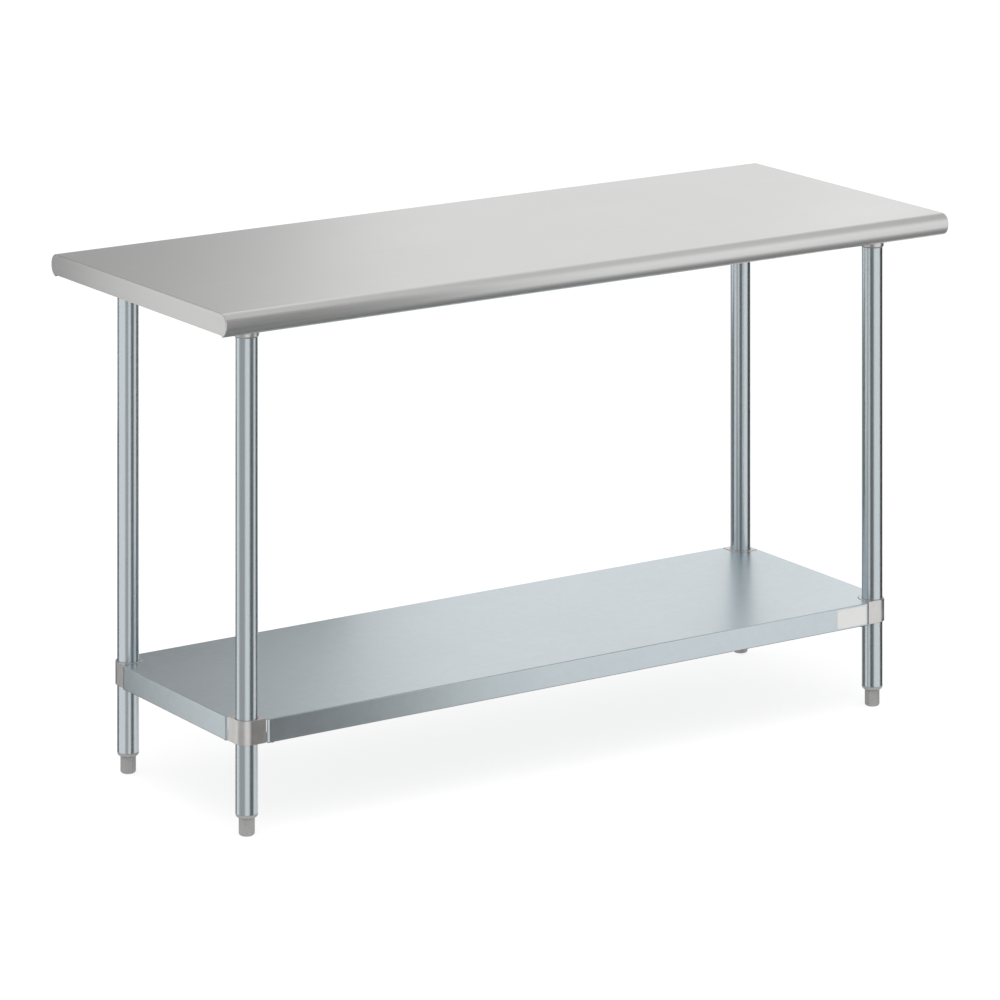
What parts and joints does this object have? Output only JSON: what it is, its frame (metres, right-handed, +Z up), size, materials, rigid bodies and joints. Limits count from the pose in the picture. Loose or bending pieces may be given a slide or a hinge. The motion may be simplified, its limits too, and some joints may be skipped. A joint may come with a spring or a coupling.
{
  "type": "stainless work table",
  "caption": "Free-standing stainless work table with rolled long edges, round galvanised legs, a height-adjustable galvanised undershelf and screw-out levelling feet.",
  "frame": {"origin": "on the floor, under the middle of the worktop", "axes": "+X along the length, to the right seen from the front; +Y towards the back; +Z up"},
  "size_m": [1.524, 0.6096, 0.9048],
  "materials": {
    "stainless_sheet": "brushed satin, grain along the length",
    "galvanised_sheet": "smooth galvanised, satin",
    "galvanised_tube": "smooth galvanised tube, semi-gloss",
    "cast_aluminium": "fine cast, satin",
    "grey_plastic": "moulded, matt",
    "zinc_steel": "zinc plated",
    "black_steel": "black oxide",
    "foil": "brushed foil, blank"
  },
  "bodies": {
    "table_frame": {"work_top": "stainless_sheet", "top_hat_channel": "galvanised_sheet", "cross_channel_left": "galvanised_sheet", "cross_channel_right": "galvanised_sheet", "channel_studs": "zinc_steel", "channel_nuts": "zinc_steel", "socket_bolts": "zinc_steel", "socket_nuts": "zinc_steel", "socket_set_screws": "black_steel", "leg_socket_front_left": "cast_aluminium", "leg_socket_front_right": "cast_aluminium", "leg_socket_back_left": "cast_aluminium", "leg_socket_back_right": "cast_aluminium", "leg_front_left": "galvanised_tube", "leg_front_right": "galvanised_tube", "leg_back_left": "galvanised_tube", "leg_back_right": "galvanised_tube", "foot_insert_front_left": "grey_plastic", "foot_insert_front_right": "grey_plastic", "foot_insert_back_left": "grey_plastic", "foot_insert_back_right": "grey_plastic"},
    "shelf": {"undershelf": "galvanised_sheet", "shelf_hat_channel": "galvanised_sheet", "shelf_clamp_front_left": "cast_aluminium", "shelf_clamp_front_right": "cast_aluminium", "shelf_clamp_back_left": "cast_aluminium", "shelf_clamp_back_right": "cast_aluminium", "clamp_set_screws": "black_steel", "clamp_screws": "zinc_steel", "label_plate": "foil"},
    "stud_front_left": {"foot_stud_front_left": "zinc_steel"},
    "foot_body_front_left": {"foot_front_left": "grey_plastic"},
    "stud_front_right": {"foot_stud_front_right": "zinc_steel"},
    "foot_body_front_right": {"foot_front_right": "grey_plastic"},
    "stud_back_left": {"foot_stud_back_left": "zinc_steel"},
    "foot_body_back_left": {"foot_back_left": "grey_plastic"},
    "stud_back_right": {"foot_stud_back_right": "zinc_steel"},
    "foot_body_back_right": {"foot_back_right": "grey_plastic"}
  },
  "joints": [
    {"name": "shelf_height", "type": "slide", "parent": "table_frame", "child": "shelf", "axis": [0, 0, 1], "range_m": [-0.11, 0.64]},
    {"name": "foot_rise_front_left", "type": "slide", "parent": "table_frame", "child": "stud_front_left", "axis": [0, 0, -1], "range_m": [0, 0.025]},
    {"name": "foot_turn_front_left", "type": "hinge", "parent": "stud_front_left", "child": "foot_body_front_left", "pos_m": [-0.6634, -0.2044, 0.015], "axis": [0, 0, -1], "range_deg": [0, 6000]},
    {"name": "foot_rise_front_right", "type": "slide", "parent": "table_frame", "child": "stud_front_right", "axis": [0, 0, -1], "range_m": [0, 0.025]},
    {"name": "foot_turn_front_right", "type": "hinge", "parent": "stud_front_right", "child": "foot_body_front_right", "pos_m": [0.6634, -0.2044, 0.015], "axis": [0, 0, -1], "range_deg": [0, 6000]},
    {"name": "foot_rise_back_left", "type": "slide", "parent": "table_frame", "child": "stud_back_left", "axis": [0, 0, -1], "range_m": [0, 0.025]},
    {"name": "foot_turn_back_left", "type": "hinge", "parent": "stud_back_left", "child": "foot_body_back_left", "pos_m": [-0.6634, 0.2044, 0.015], "axis": [0, 0, -1], "range_deg": [0, 6000]},
    {"name": "foot_rise_back_right", "type": "slide", "parent": "table_frame", "child": "stud_back_right", "axis": [0, 0, -1], "range_m": [0, 0.025]},
    {"name": "foot_turn_back_right", "type": "hinge", "parent": "stud_back_right", "child": "foot_body_back_right", "pos_m": [0.6634, 0.2044, 0.015], "axis": [0, 0, -1], "range_deg": [0, 6000]}
  ],
  "couplings": [
    {"joint": "foot_turn_front_left", "follows": "foot_rise_front_left", "rad_per_m": 4188.8},
    {"joint": "foot_turn_front_right", "follows": "foot_rise_front_right", "rad_per_m": 4188.8},
    {"joint": "foot_turn_back_left", "follows": "foot_rise_back_left", "rad_per_m": 4188.8},
    {"joint": "foot_turn_back_right", "follows": "foot_rise_back_right", "rad_per_m": 4188.8}
  ]
}
